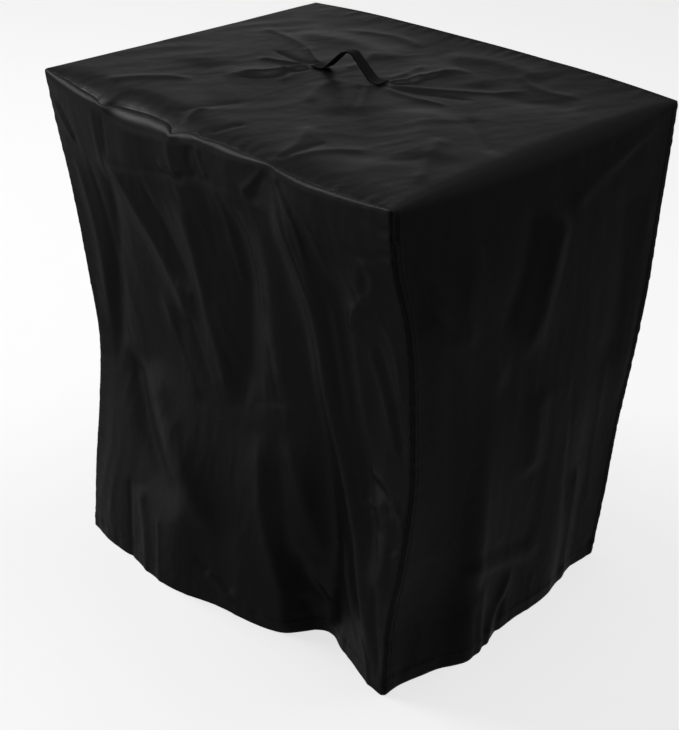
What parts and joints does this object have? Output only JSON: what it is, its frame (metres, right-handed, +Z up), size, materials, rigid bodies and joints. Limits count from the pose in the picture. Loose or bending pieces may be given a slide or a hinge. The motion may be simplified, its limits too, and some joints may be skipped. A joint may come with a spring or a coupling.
{
  "type": "fitted pump cover",
  "caption": "Box-shaped cover of coated black cloth, open below, with soft folds down its sides and a webbing carrying strap on top.",
  "frame": {"origin": "under the middle of the top cloth, at the height of the flat top that the cover rests on", "axes": "+Z up, away from the open bottom; +X along the 55 cm side, to the right seen from the front panel; +Y along the 50 cm side, towards the back panel"},
  "size_m": [0.5901, 0.516, 0.6507],
  "materials": {
    "coated_cloth": "semi-gloss coated polyester",
    "webbing": "matt woven webbing"
  },
  "bodies": {
    "root": {"top_and_sides": "coated_cloth", "front_panel": "coated_cloth", "back_panel": "coated_cloth", "carry_strap": "webbing"}
  },
  "joints": []
}
